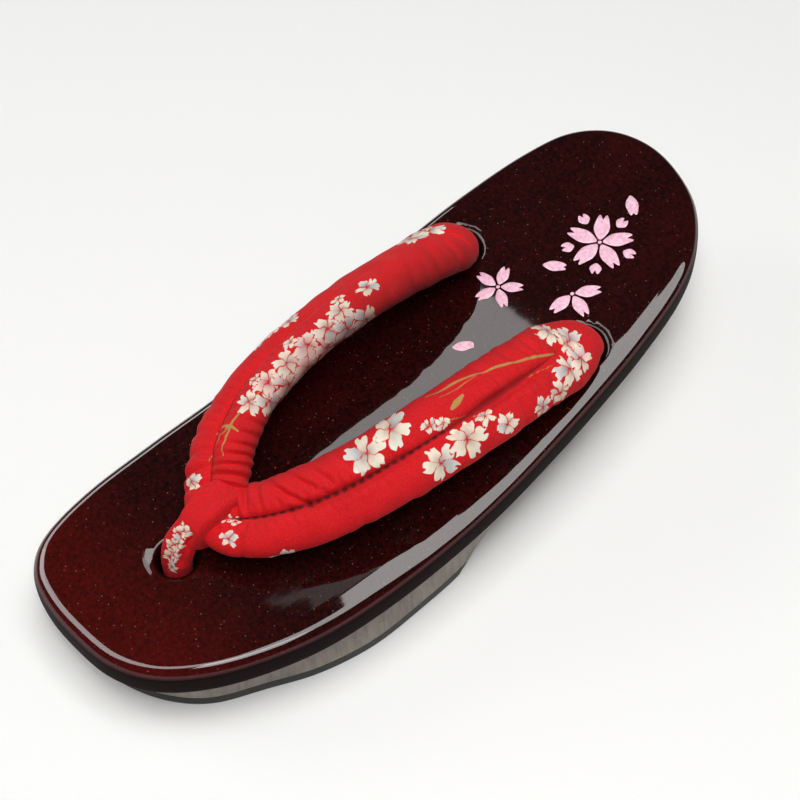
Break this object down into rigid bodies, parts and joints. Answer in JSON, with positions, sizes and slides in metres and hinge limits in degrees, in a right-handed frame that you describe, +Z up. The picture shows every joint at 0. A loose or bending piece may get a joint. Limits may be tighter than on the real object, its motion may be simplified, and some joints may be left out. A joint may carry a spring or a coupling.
{
  "type": "geta sandal",
  "caption": "Women's geta for the left foot: glossy lacquered deck with painted blossoms, low front and heel blocks on rubber, and a padded red blossom print thong",
  "frame": {"origin": "middle of the sandal's length and width, on the floor it stands on", "axes": "+Z up, the toe points toward -Y and the heel toward +Y, the wearer's left (the outer side of this left sandal) is +X"},
  "size_m": [0.0902, 0.2401, 0.0657],
  "materials": {
    "lacquer": "gloss",
    "body": "satin",
    "rubber": "matte",
    "red_cloth": "matte",
    "cotton_cord": "matte"
  },
  "bodies": {
    "root": {"deck": "lacquer", "underbody": "body", "front_outsole": "rubber", "heel_outsole": "rubber", "straps": "red_cloth", "toe_loop": "red_cloth", "toe_knot": "cotton_cord", "tie_knot_medial": "cotton_cord", "tie_knot_lateral": "cotton_cord"}
  },
  "joints": []
}
